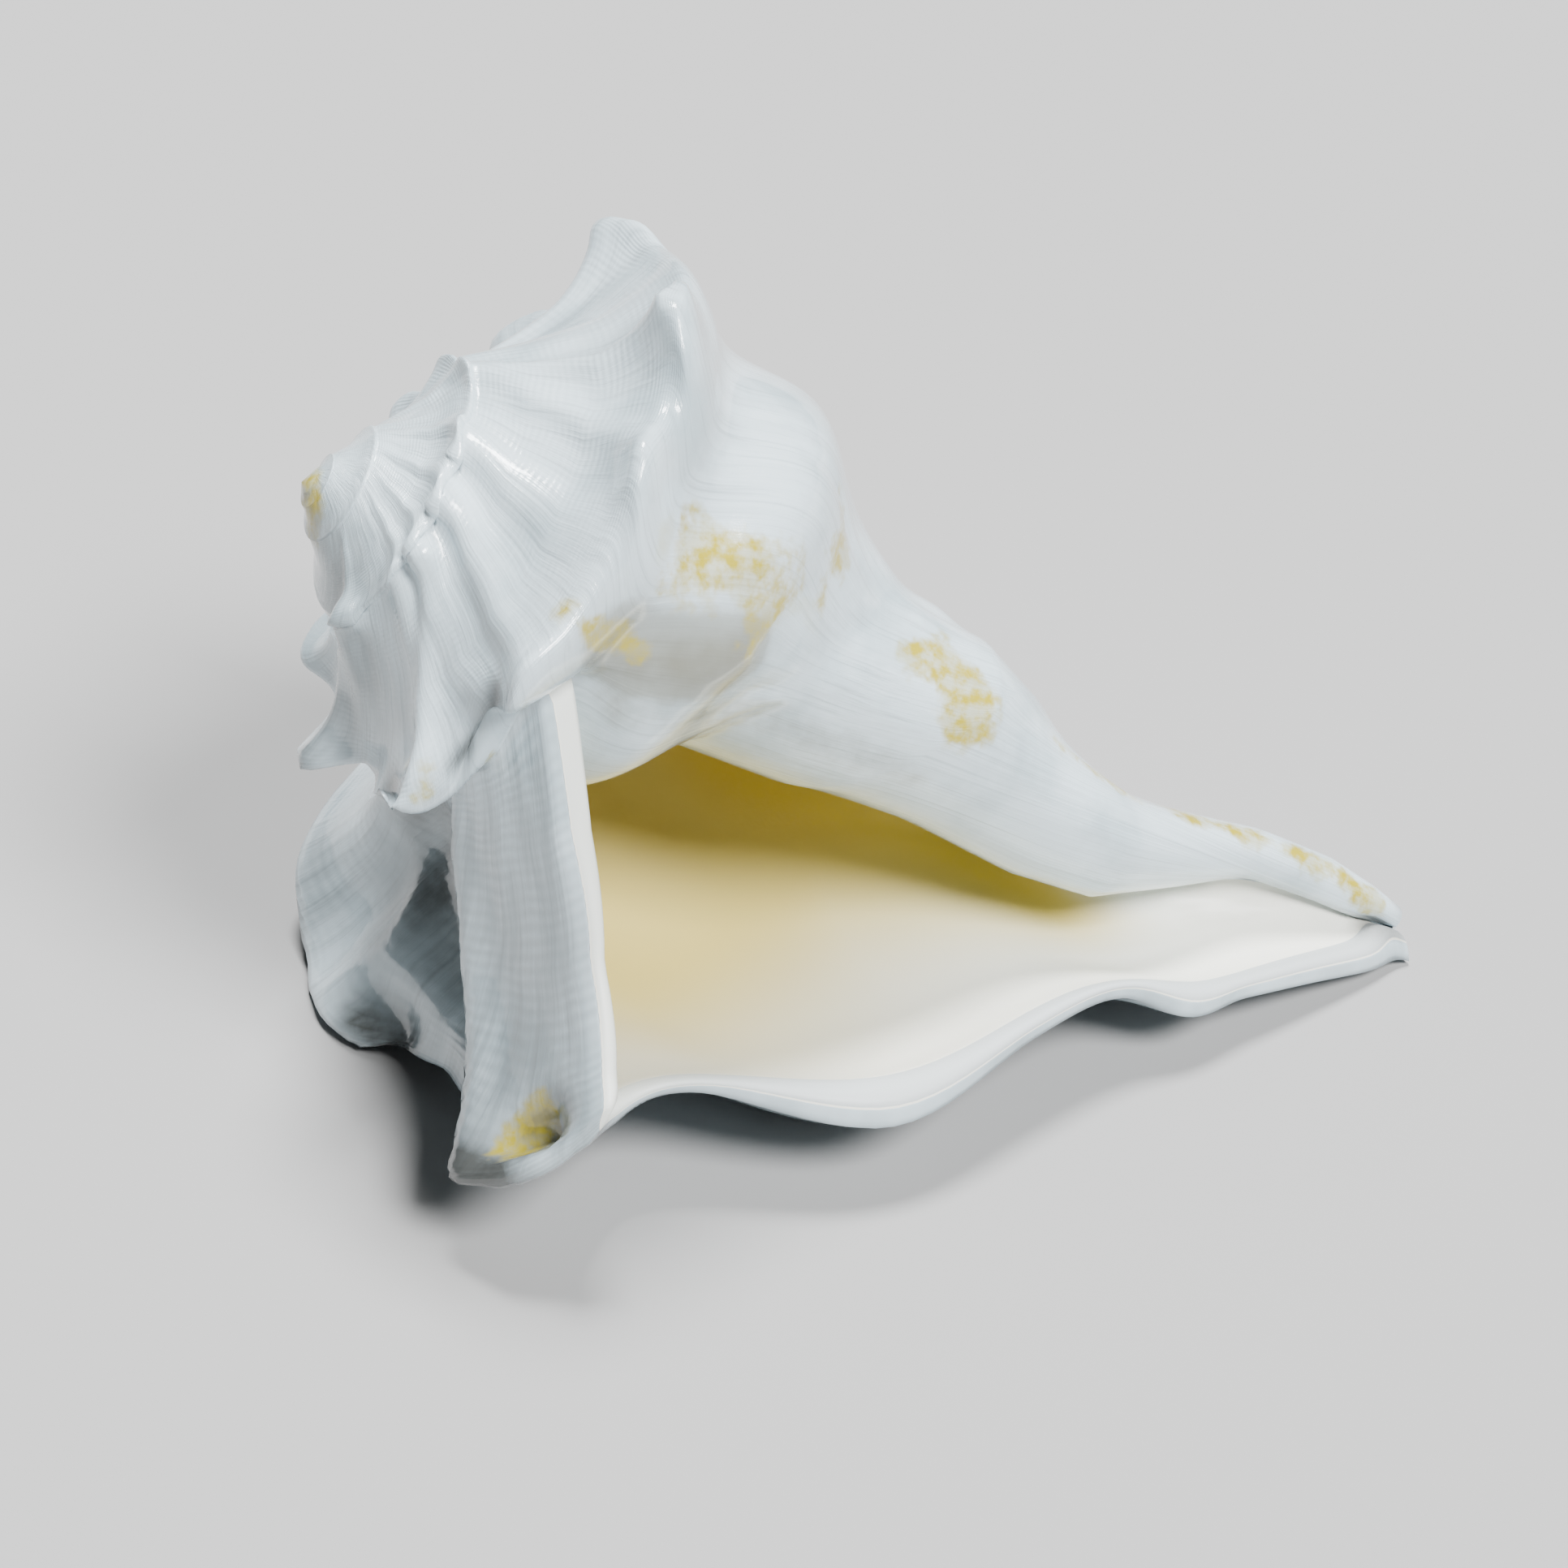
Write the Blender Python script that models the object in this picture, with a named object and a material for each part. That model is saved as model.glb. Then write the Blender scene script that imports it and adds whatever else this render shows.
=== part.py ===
import math
import bpy
import bmesh
import numpy as np

# Left-handed knobbed whelk shell, one body. Working units: shell length 1, scaled at the end.
# The spiral runs round the Z axis, apex at the top; angle in degrees, growth makes it larger.

SHELL_LENGTH = 0.180          # metres, apex to canal tip
COLUMNS_PER_TURN = 54         # growth lines in one turn
SEAM_SHIFT = 6                # columns between the lip at the seam and at the shoulder
TURNS = 4.2                   # turns of the spiral from the nucleus to the lip
WHORL_EXPANSION = 2.162         # growth in size over one turn
REFERENCE_ANGLE = -64.0       # angle at which the profile below has its full size
SPIRE_POWER = 1.102            # above 1 the spire is taller than a pure log spiral
SEAM_ANGLE = -35.3            # angle of the lip where it meets the body
WALL = 0.022                  # wall thickness by shell length
CAVITY_DEPTH = 176.0          # degrees that the aperture runs inward from the lip
CAVITY_FLOOR = 0.975          # bottom of the cavity by the height of the wall's own tip

# Radius and height (down from the apex) of one growth line at full size
PROFILE = [(0.1862, 0.1900), (0.2301, 0.2310), (0.2955, 0.2783), (0.3673, 0.3074),
           (0.3983, 0.3223), (0.3750, 0.3703), (0.3294, 0.4296), (0.3104, 0.5604),
           (0.2108, 0.6587), (0.1564, 0.7314), (0.1432, 0.7969), (0.1191, 0.8427),
           (0.0803, 0.9005), (0.0480, 0.9590), (0.0200, 0.9820)]
SHOULDER = 4.0                # place of the shoulder in PROFILE
SEAM_ROW = 4.3                # place in PROFILE where the next whorl joins
SEAM_ROW_LIP = 5.4            # the same in the last turn, where the seam drops
BAND = 0.60                   # thickness of the joint, in steps of PROFILE

# Place in PROFILE and angle of the lip edge
LIP_EDGE = [(0, -35.3), (1, -50.2), (2, -60.9), (3, -63.4), (4, -62.0), (5, -61.0),
            (7, -62.0), (9, -59.6), (11, -58.0), (13, -52.3), (14, -47.8)]

# Height, radius and sideways shift of the pillar in the middle of the shell
PILLAR = [(0, 0.0767, 0.0038), (0.3, 0.0760, 0.0061), (0.55, 0.0701, 0.0047),
          (0.65, 0.0536, -0.0206), (0.72, 0.0423, -0.0274), (0.79, 0.0308, -0.0070),
          (0.85, 0.0205, 0.0125), (0.92, 0.0178, 0.0160), (0.97, 0.0153, 0.0105),
          (1, 0.0135, 0.0045)]

# Shoulder knobs: angle, height, upward tilt, half width in degrees, flatness of the top,
# and how far the fold above the knob leans by the time it meets the seam
KNOBS = [(-75.2, 0.065, 30, 8, 0.75, -26), (-115.1, 0.060, 30, 11, 0.9, 0),
         (-136.0, 0.087, 32, 15.5, 0.9, 0), (-176.0, 0.060, 34, 9, 0.9, 0),
         (-212.3, 0.057, 36, 9, 0.8, 0), (-248.7, 0.059, 40, 7, 0.65, 0),
         (-305.8, 0.077, 38, 8, 0.65, 0), (-335.9, 0.041, 38, 9, 0.9, 22),
         (-378.5, 0.045, 38, 10, 0.9, 0), (-427.7, 0.057, 35, 10, 0.7, 34),
         (-465.0, 0.088, 35, 8, 0.95, 0), (-493.6, 0.066, 35, 9, 0.9, 0),
         (-532.5, 0.051, 35, 9, 0.9, 0), (-565.8, 0.042, 35, 9, 0.9, 0),
         (-602.5, 0.034, 35, 9, 0.9, 0), (-630.9, 0.043, 35, 8, 0.9, 0),
         (-669.7, 0.047, 35, 8, 0.9, 0), (-693.6, 0.044, 35, 7, 0.9, 0),
         (-716.0, 0.042, 35, 7, 0.9, 0), (-732.7, 0.041, 35, 7, 0.9, 0),
         (-776.3, 0.061, 35, 8, 0.9, 0)]
FOLD = 0.36                   # height of the fold above a knob, by the knob's own height

# Deep valley behind the lip: place in PROFILE, its edge towards the lip, its far edge, depth
VALLEY = [(0.0, -36, -82, 0.020), (1.0, -34, -76, 0.030), (1.9, -33, -64, 0.032),
          (2.6, -28, -48, 0.022), (3.1, -18, -30, 0.006), (3.6, -14, -24, 0.0)]
# Callus on the body inside the aperture: place in PROFILE, edge, thickness
CALLUS = [(5.0, -306, 0.0), (6.1, -311, 0.0), (6.6, -315, 0.012), (7.3, -325, 0.020),
          (8.0, -318, 0.018), (8.9, -297, 0.008), (10.0, -275, 0.0)]

ROWS_TOP = 8
ROWS_BAND = 2
ROWS_LOW = 14
ROWS_PILLAR = 5

REST_UP = (0.42700, 0.77587, 0.46443)   # direction that points up when the shell lies on its back


def smooth_step(start, end, x):
    t = np.clip((x - start) / (end - start), 0.0, 1.0)
    return t * t * (3.0 - 2.0 * t)


def curve(points, u):
    points = np.asarray(points, float)
    count = len(points)
    i = np.clip(np.floor(u).astype(int), 0, count - 2)
    t = (u - i)[..., None]
    p1 = points[i]
    p2 = points[i + 1]
    first = (i == 0)[..., None]
    last = (i >= count - 2)[..., None]
    p0 = np.where(first, 2 * p1 - p2, points[np.clip(i - 1, 0, count - 1)])
    p3 = np.where(last, 2 * p2 - p1, points[np.clip(i + 2, 0, count - 1)])
    a = 2 * p1
    b = p2 - p0
    c = 2 * p0 - 5 * p1 + 4 * p2 - p3
    d = 3 * p1 - p0 - 3 * p2 + p3
    return 0.5 * (a + b * t + c * t ** 2 + d * t ** 3)


def pillar_radius(z, phi):
    table = np.array(PILLAR)
    radius = np.interp(z, table[:, 0], table[:, 1])
    shift = np.interp(z, table[:, 0], table[:, 2])
    return radius + shift * np.sin(np.radians(phi))


def knob_push(line, u, scale):
    # line is the angle at the shoulder of the growth line that a point lies on
    out = np.zeros_like(line)
    down = np.zeros_like(line)
    reach = np.where(u < SHOULDER, 0.95, 0.80)
    ramp = smooth_step(-1.0, 3.0, u) * (1.0 - smooth_step(3.6, 5.0, u))
    for angle, height, tilt, width, flat, lean in KNOBS:
        across = (line - angle) / width
        beside = (line - angle - lean * np.clip(1.0 - u / SHOULDER, 0.0, 1.0)) / width
        bump = 1.25 * np.exp(-across ** 2 - ((u - SHOULDER) / reach) ** 2)
        bump = 0.5 * (bump + flat - np.sqrt((bump - flat) ** 2 + 0.004)) + 0.001
        push = height * np.maximum(bump, 0.0) * scale
        fold = FOLD * height * np.exp(-(beside / 0.55) ** 2) * ramp * scale
        out += push * math.cos(math.radians(tilt)) + fold * 0.5
        down -= push * math.sin(math.radians(tilt)) + fold * 0.8
    return out, down


def relief(growth, u):
    # valley behind the lip, taken off the ramp, and callus, put on the body inside the aperture
    table = np.array(VALLEY, float)
    near = np.interp(u, table[:, 0], table[:, 1])
    far = np.interp(u, table[:, 0], table[:, 2])
    depth = np.interp(u, table[:, 0], table[:, 3])
    valley = depth * smooth_step(near + 1.0, near - 9.0, growth) * smooth_step(far - 6.0, far + 8.0, growth)
    table = np.array(CALLUS, float)
    edge = np.interp(u, table[:, 0], table[:, 1])
    thick = np.interp(u, table[:, 0], table[:, 2])
    callus = thick * smooth_step(edge + 4.0, edge - 20.0, growth) * smooth_step(-470.0, -430.0, growth)
    return valley, callus


def to_points(r, z, phi):
    angle = np.radians(phi)
    return np.stack([r * np.cos(angle), r * np.sin(angle), -z], -1)


def shell_grid():
    step = 360.0 / COLUMNS_PER_TURN
    count = int(round(TURNS * COLUMNS_PER_TURN))
    growth = (np.arange(count + 1) - count) * step
    end = len(PROFILE) - 1.0
    seam = SEAM_ROW + (SEAM_ROW_LIP - SEAM_ROW) * smooth_step(-460.0, -380.0, growth)
    band = seam + BAND
    top = np.linspace(0, 1, ROWS_TOP + 1)[None, :] * seam[:, None]
    mid = seam[:, None] + np.linspace(0, 1, ROWS_BAND + 1)[None, 1:] * BAND
    low = band[:, None] + np.linspace(0, 1, ROWS_LOW + 1)[None, 1:] * (end - band)[:, None]
    u = np.concatenate([top, mid, low], 1)
    edge = np.array(LIP_EDGE, float)
    slant = np.interp(u, edge[:, 0], edge[:, 1])
    pinned = SEAM_ANGLE - SEAM_SHIFT * step - np.interp(seam, edge[:, 0], edge[:, 1])
    slant = slant + pinned[:, None] * np.exp(-((u - seam[:, None]) / 1.2) ** 2)
    slant[:, 0] = SEAM_ANGLE
    phi = growth[:, None] + slant
    scale = WHORL_EXPANSION ** ((phi - REFERENCE_ANGLE) / 360.0)
    shape = curve(PROFILE, u)
    power = SPIRE_POWER + (1.0 - SPIRE_POWER) * smooth_step(SHOULDER, SHOULDER + 5.0, u)
    r = shape[..., 0] * scale
    z = shape[..., 1] * scale ** power
    valley, callus = relief(np.repeat(growth[:, None], u.shape[1], 1), u)
    r = r + (callus - 0.5 * valley) * scale
    z = z + 0.85 * valley * scale
    plain_r = r.copy()
    plain_z = z.copy()
    at_shoulder = float(np.interp(SHOULDER, edge[:, 0], edge[:, 1]))
    line = np.repeat(growth[:, None] + at_shoulder, u.shape[1], 1)
    out, down = knob_push(line, u, scale)
    r = r + out
    z = z + down
    turn = COLUMNS_PER_TURN - SEAM_SHIFT
    weight = np.clip(1.0 - u / SHOULDER, 0.0, 1.0) ** 1.5
    for start in range(turn, count + 1, turn):
        cols = np.arange(start, min(start + turn, count + 1))
        dr = r[cols - turn, ROWS_TOP] - r[cols, 0]
        dz = z[cols - turn, ROWS_TOP] - z[cols, 0]
        r[cols] += dr[:, None] * weight[cols]
        z[cols] += dz[:, None] * weight[cols]
        plain_r[cols] += dr[:, None] * weight[cols]
        plain_z[cols] += dz[:, None] * weight[cols]
    core = pillar_radius(z, phi) + 0.75 * WALL * scale
    soft = 0.5 * (r + core + np.sqrt((r - core) ** 2 + 0.0001 * scale ** 2))
    r = r + (soft - r) * smooth_step(SHOULDER + 1.0, SHOULDER + 4.0, u)
    return phi, u, r, z, plain_r, plain_z, growth


def pillar_rows(phi_end, r_end, z_end, z_stop):
    t = np.linspace(0, 1, ROWS_PILLAR + 1)[None, 1:]
    z = z_end[:, None] + (z_stop - z_end)[:, None] * t
    extra = (r_end - pillar_radius(z_end, phi_end))[:, None]
    phi = np.repeat(phi_end[:, None], ROWS_PILLAR, 1)
    r = pillar_radius(z, phi) + extra * np.exp(-(z - z_end[:, None]) / 0.04)
    return phi, r, z


class Net:
    def __init__(self):
        self.points = []
        self.faces = []

    def add(self, point):
        self.points.append(tuple(float(v) for v in point))
        return len(self.points) - 1

    def quad(self, a, b, c, d):
        ring = []
        for v in (a, b, c, d):
            if v not in ring:
                ring.append(v)
        if len(ring) >= 3:
            self.faces.append(tuple(ring))

    def sheet(self, ids):
        for i in range(len(ids) - 1):
            for j in range(len(ids[i]) - 1):
                self.quad(ids[i][j], ids[i + 1][j], ids[i + 1][j + 1], ids[i][j + 1])

    def fan(self, ring, point):
        centre = self.add(point)
        for a, b in zip(ring, ring[1:] + ring[:1]):
            if a != b:
                self.faces.append((a, b, centre))


def shell_net():
    phi, u, r, z, plain_r, plain_z, growth = shell_grid()
    count = len(growth) - 1
    turn = COLUMNS_PER_TURN - SEAM_SHIFT
    seam_col = count - turn
    last = phi.shape[1] - 1
    band_row = ROWS_TOP + ROWS_BAND
    deep = int(round(CAVITY_DEPTH / 360.0 * COLUMNS_PER_TURN))
    deep_col = count - deep
    core_col = deep_col - COLUMNS_PER_TURN
    net = Net()
    pts = to_points(r, z, phi)
    ids = {}

    def at(i, j):
        if j == 0 and i >= turn:
            return at(i - turn, ROWS_TOP)
        if (i, j) not in ids:
            ids[(i, j)] = net.add(pts[i, j])
        return ids[(i, j)]

    # spire and the top of the last whorl
    net.sheet([[at(i, j) for j in range(ROWS_TOP + 1)] for i in range(count + 1)])
    nose = [at(0, j) for j in range(ROWS_TOP + 1)] + [at(i, 0) for i in range(turn - 1, 0, -1)]
    tip = pts[0, :ROWS_TOP + 1].mean(0) * 0.5
    net.fan(nose, (tip[0] * 0.3, tip[1] * 0.3, min(0.0, tip[2] * 0.6)))

    # pillar below the whorls, from the seam column round to the lip, and inside the aperture
    stop = np.ones(count + 1)
    inner = np.arange(count + 1) <= count - COLUMNS_PER_TURN
    wall_tip = np.roll(z[:, last], -COLUMNS_PER_TURN)
    stop = np.where(inner, wall_tip * CAVITY_FLOOR, stop)
    between = (np.arange(count + 1) > count - COLUMNS_PER_TURN) & (np.arange(count + 1) < seam_col)
    gap = (np.arange(count + 1) - (count - COLUMNS_PER_TURN)) / float(SEAM_SHIFT)
    stop = np.where(between, CAVITY_FLOOR + (1.0 - CAVITY_FLOOR) * gap, stop)
    stop = np.maximum(stop, z[:, last] + 0.006)
    ephi, er, ez = pillar_rows(phi[:, last], r[:, last], z[:, last], stop)
    epts = to_points(er, ez, ephi)

    def low(i, j):
        if j <= last:
            return at(i, j)
        if i == count:
            return at(i, last)
        if (i, j) not in ids:
            ids[(i, j)] = net.add(epts[i, j - last - 1])
        return ids[(i, j)]

    rows = last + ROWS_PILLAR
    outside = [[low(i, j) for j in range(ROWS_TOP, rows + 1)] for i in range(seam_col, count + 1)]
    net.sheet(outside)
    core = [[low(i, j) for j in range(band_row, rows + 1)] for i in range(core_col, seam_col + 1)]
    net.sheet([line[::-1] for line in core[::-1]])

    # inner face of the outer wall
    cols = np.arange(deep_col, count + 1)
    scale = WHORL_EXPANSION ** ((phi[cols] - REFERENCE_ANGLE) / 360.0)
    ir = plain_r[cols] * 0.7 + r[cols] * 0.3
    iz = plain_z[cols] * 0.7 + z[cols] * 0.3
    tr = np.gradient(ir, axis=1)
    tz = np.gradient(iz, axis=1)
    size = np.sqrt(tr ** 2 + tz ** 2) + 1e-9
    ir = ir - WALL * scale * tz / size
    iz = iz + WALL * scale * tr / size
    for _ in range(2):
        ir[:, 1:-1] = 0.25 * ir[:, :-2] + 0.5 * ir[:, 1:-1] + 0.25 * ir[:, 2:]
        iz[:, 1:-1] = 0.25 * iz[:, :-2] + 0.5 * iz[:, 1:-1] + 0.25 * iz[:, 2:]
    iphi = phi[cols].copy()
    s = np.linspace(0, 1, last + 1)[None, :]
    joint = cols - turn
    floor = cols - COLUMNS_PER_TURN
    head = (1.0 - s) ** 5
    foot = s ** 9
    clear = pillar_radius(iz, iphi) + 0.3 * WALL * scale
    ir = 0.5 * (ir + clear + np.sqrt((ir - clear) ** 2 + 0.00002))
    ir = ir + head * (r[joint, band_row] - ir[:, 0])[:, None]
    iz = iz + head * (z[joint, band_row] - iz[:, 0])[:, None]
    iphi = iphi + head * (phi[joint, band_row] + 360.0 - iphi[:, 0])[:, None]
    ir = ir + foot * (er[floor, -1] - ir[:, -1])[:, None]
    iz = iz + foot * (ez[floor, -1] - iz[:, -1])[:, None]
    ipts = to_points(ir, iz, iphi)
    inside = []
    for k, i in enumerate(cols):
        line = [low(i - turn, band_row)]
        line += [net.add(ipts[k, j]) for j in range(1, last)]
        line.append(low(i - COLUMNS_PER_TURN, rows))
        inside.append(line)
    net.sheet([line[::-1] for line in inside])

    # rounded lip between the outer and the inner face
    lip = [[at(count, j) for j in range(last + 1)]]
    ahead = np.radians(phi[count])
    forward = np.stack([-np.sin(ahead), np.cos(ahead), np.zeros_like(ahead)], -1)
    for k in range(1, ROWS_BAND):
        t = k / float(ROWS_BAND)
        line = [low(seam_col, ROWS_TOP + k)]
        for j in range(1, last + 1):
            bulge = 0.5 * WALL * math.sin(math.pi * t) * min(1.0, j / 4.0)
            point = pts[count, j] * (1 - t) + ipts[-1, j] * t + forward[j] * bulge
            line.append(net.add(point))
        lip.append(line)
    lip.append(inside[-1])
    net.sheet(lip)

    # canal tip
    ring = [low(i, rows) for i in range(seam_col, count + 1)]
    ring += [lip[k][last] for k in range(1, ROWS_BAND)]
    ring += [low(i, rows) for i in range(count - COLUMNS_PER_TURN, seam_col)]
    centre = np.mean([net.points[v] for v in ring], 0)
    net.fan(ring, (centre[0], centre[1], centre[2] - 0.004))

    # deep end of the aperture
    ring = [low(core_col, j) for j in range(band_row, rows + 1)]
    ring += inside[0][-2::-1]
    ring += [low(i, band_row) for i in range(core_col + SEAM_SHIFT - 1, core_col, -1)]
    centre = np.mean([net.points[v] for v in ring], 0)
    net.fan(ring, centre)
    return net


def lay_down(points):
    # apex to the left, canal tip to the right, aperture up, lowest point on the floor
    up = np.array(REST_UP)
    up = up / np.linalg.norm(up)
    along = np.array([0.0, 0.0, -1.0])
    along = along - up * np.dot(along, up)
    along = along / np.linalg.norm(along)
    across = np.cross(up, along)
    points = np.asarray(points, float)
    size = SHELL_LENGTH / (points[:, 2].max() - points[:, 2].min())
    turned = points @ np.stack([along, across, up], 1) * size
    low = turned.min(0)
    high = turned.max(0)
    return turned - np.array([(low[0] + high[0]) / 2, (low[1] + high[1]) / 2, low[2]])


def shell_material():
    mat = bpy.data.materials.new("shell_enamel")
    mat.use_nodes = True
    tree = mat.node_tree
    tree.nodes.clear()
    shader = tree.nodes.new("ShaderNodeBsdfPrincipled")
    shader.inputs["Base Color"].default_value = (0.80, 0.80, 0.78, 1.0)
    shader.inputs["Roughness"].default_value = 0.28
    result = tree.nodes.new("ShaderNodeOutputMaterial")
    tree.links.new(shader.outputs["BSDF"], result.inputs["Surface"])
    return mat


def main():
    for item in list(bpy.data.objects):
        bpy.data.objects.remove(item, do_unlink=True)
    net = shell_net()
    points = lay_down(net.points)
    mesh = bpy.data.meshes.new("shell")
    mesh.from_pydata([tuple(p) for p in points], [], net.faces)
    bm = bmesh.new()
    bm.from_mesh(mesh)
    bmesh.ops.triangulate(bm, faces=bm.faces[:], quad_method="SHORT_EDGE")
    bmesh.ops.recalc_face_normals(bm, faces=bm.faces[:])
    for face in bm.faces:
        face.smooth = True
    bm.to_mesh(mesh)
    bm.free()
    shell = bpy.data.objects.new("shell", mesh)
    mesh.materials.append(shell_material())
    bpy.context.scene.collection.objects.link(shell)


main()
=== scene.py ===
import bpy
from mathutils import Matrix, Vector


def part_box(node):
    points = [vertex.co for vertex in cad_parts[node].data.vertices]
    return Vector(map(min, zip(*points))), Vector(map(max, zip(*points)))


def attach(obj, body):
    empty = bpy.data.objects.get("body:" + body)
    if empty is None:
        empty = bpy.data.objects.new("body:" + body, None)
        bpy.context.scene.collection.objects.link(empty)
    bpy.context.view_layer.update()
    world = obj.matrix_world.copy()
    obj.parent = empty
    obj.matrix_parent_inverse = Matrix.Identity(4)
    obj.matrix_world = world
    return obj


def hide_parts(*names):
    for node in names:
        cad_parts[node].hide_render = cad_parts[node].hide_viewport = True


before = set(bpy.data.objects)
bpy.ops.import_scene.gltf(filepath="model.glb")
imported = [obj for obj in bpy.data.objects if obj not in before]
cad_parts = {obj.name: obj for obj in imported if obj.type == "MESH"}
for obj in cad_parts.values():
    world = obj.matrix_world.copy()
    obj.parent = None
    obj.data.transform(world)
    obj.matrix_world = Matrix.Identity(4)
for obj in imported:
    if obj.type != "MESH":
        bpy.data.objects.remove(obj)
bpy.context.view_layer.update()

import math
import bpy
import numpy as np
from mathutils import Matrix

# Overall size and rest pose. The shell is worked out with its apex at the origin, one unit long,
# winding round the Z axis; restUp is the direction that points up once it lies on the table.
# Angles are in degrees; thicknesses are shares of the shell's length.
shellValues = {
    "length": 0.177451,
    "columnsPerTurn": 216,
    "seamShift": 24,
    "turns": 4.2,
    "whorlExpansion": 2.162,
    "referenceAngle": -64.0,
    "spirePower": 1.102,
    "seamAngle": -35.3,
    "wall": 0.022,
    "cavityDepth": 176,
    "cavityFloor": 0.975,
    "shoulder": 4.0,
    "seamRow": 4.3,
    "seamRowLip": 5.4,
    "band": 0.60,
    "rimStart": 0.35,
    "pillarStep": 0.2,
    "innerRounds": 40,
    "wearRounds": 45,
    "wear": (-318.0, -298.0, -262.0, -240.0),
    "fold": 0.36,
    "restUp": (0.42700, 0.77587, 0.46443),
    "restOffset": (0.0790150, -0.0000828, -0.0853257),
}


def smoothStep(start, end, x):
    # t = (x - start) / (end - start) held to 0..1, result t * t * (3 - 2 t)
    t = np.clip((x - start) / (end - start), 0.0, 1.0)
    return t * t * (3.0 - 2.0 * t)


def curveAt(points, u):
    # Catmull-Rom curve through the points: half of 2 p1 + (p2 - p0) t + ... up to t cubed
    points = np.asarray(points, float)
    count = len(points)
    i = np.clip(np.floor(u).astype(int), 0, count - 2)
    t = (u - i)[..., None]
    p1 = points[i]
    p2 = points[i + 1]
    first = (i == 0)[..., None]
    last = (i >= count - 2)[..., None]
    p0 = np.where(first, 2 * p1 - p2, points[np.clip(i - 1, 0, count - 1)])
    p3 = np.where(last, 2 * p2 - p1, points[np.clip(i + 2, 0, count - 1)])
    a = 2 * p1
    b = p2 - p0
    c = 2 * p0 - 5 * p1 + 4 * p2 - p3
    d = 3 * p1 - p0 - 3 * p2 + p3
    return 0.5 * (a + b * t + c * t ** 2 + d * t ** 3)


# Pillar in the middle: height, radius and sideways shift
pillarLine = [(0, 0.0767, 0.0038), (0.3, 0.0760, 0.0061), (0.55, 0.0701, 0.0047),
              (0.65, 0.0536, -0.0206), (0.72, 0.0423, -0.0274), (0.79, 0.0308, -0.0070),
              (0.85, 0.0205, 0.0125), (0.92, 0.0178, 0.0160), (0.97, 0.0153, 0.0105),
              (1, 0.0135, 0.0045)]


def pillarRadius(z, phi):
    # radius at that height plus shift * sin(angle)
    table = np.array(pillarLine)
    radius = np.interp(z, table[:, 0], table[:, 1])
    shift = np.interp(z, table[:, 0], table[:, 2])
    return radius + shift * np.sin(np.radians(phi))


# Shoulder knobs: angle, height, upward tilt, half width in degrees, flatness of the top,
# and how far the fold above the knob leans by the time it meets the seam
knobList = [(-75.2, 0.065, 30, 8, 0.75, -26), (-115.1, 0.060, 30, 11, 0.9, 0),
            (-136.0, 0.087, 32, 15.5, 0.9, 0), (-176.0, 0.060, 34, 9, 0.9, 0),
            (-212.3, 0.057, 36, 9, 0.8, 0), (-248.7, 0.059, 40, 7, 0.65, 0),
            (-305.8, 0.077, 38, 8, 0.65, 0), (-335.9, 0.041, 38, 9, 0.9, 22),
            (-378.5, 0.045, 38, 10, 0.9, 0), (-427.7, 0.057, 35, 10, 0.7, 34),
            (-465.0, 0.088, 35, 8, 0.95, 0), (-493.6, 0.066, 35, 9, 0.9, 0),
            (-532.5, 0.051, 35, 9, 0.9, 0), (-565.8, 0.042, 35, 9, 0.9, 0),
            (-602.5, 0.034, 35, 9, 0.9, 0), (-630.9, 0.043, 35, 8, 0.9, 0),
            (-669.7, 0.047, 35, 8, 0.9, 0), (-693.6, 0.044, 35, 7, 0.9, 0),
            (-716.0, 0.042, 35, 7, 0.9, 0), (-732.7, 0.041, 35, 7, 0.9, 0),
            (-776.3, 0.061, 35, 8, 0.9, 0)]


def knobPush(line, u, scale):
    # each knob: height * exp(-(angle / width)^2 - (way from the shoulder / reach)^2), cut off
    # flat; above it a fold runs up its growth line to the seam. line is each growth line's angle
    # at the shoulder
    out = np.zeros_like(line)
    down = np.zeros_like(line)
    shoulder = shellValues["shoulder"]
    reach = np.where(u < shoulder, 0.95, 0.80)
    ramp = smoothStep(-1.0, 3.0, u) * (1.0 - smoothStep(3.6, 5.0, u))
    for angle, height, tilt, width, flat, lean in knobList:
        across = (line - angle) / width
        beside = (line - angle - lean * np.clip(1.0 - u / shoulder, 0.0, 1.0)) / width
        bump = 1.25 * np.exp(-across ** 2 - ((u - shoulder) / reach) ** 2)
        bump = 0.5 * (bump + flat - np.sqrt((bump - flat) ** 2 + 0.004)) + 0.001
        push = height * np.maximum(bump, 0.0) * scale
        fold = shellValues["fold"] * height * np.exp(-(beside / 0.55) ** 2) * ramp * scale
        out += push * math.cos(math.radians(tilt)) + fold * 0.5
        down -= push * math.sin(math.radians(tilt)) + fold * 0.8
    return out, down


# Unevenness of the outer skin: ripples along the growth, broad dents, and their seed
skinValues = {
    "ripple": 0.0030,
    "rippleStep": 5.0,
    "facet": 0.006,
    "facetStep": (15.0, 1.1),
    "seed": 5,
}


def latticeNoise(x, y, seed):
    # random heights on whole numbers, blended by t * t * (3 - 2 t) between the four nearest
    ix = np.floor(x).astype(int)
    iy = np.floor(y).astype(int)
    tx = smoothStep(0.0, 1.0, x - ix)
    ty = smoothStep(0.0, 1.0, y - iy)

    def height(a, b):
        value = np.sin(a * 127.1 + b * 311.7 + seed * 74.7) * 43758.5453
        return (value - np.floor(value)) * 2.0 - 1.0

    low = height(ix, iy) * (1 - tx) + height(ix + 1, iy) * tx
    high = height(ix, iy + 1) * (1 - tx) + height(ix + 1, iy + 1) * tx
    return low * (1 - ty) + high * ty


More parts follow.
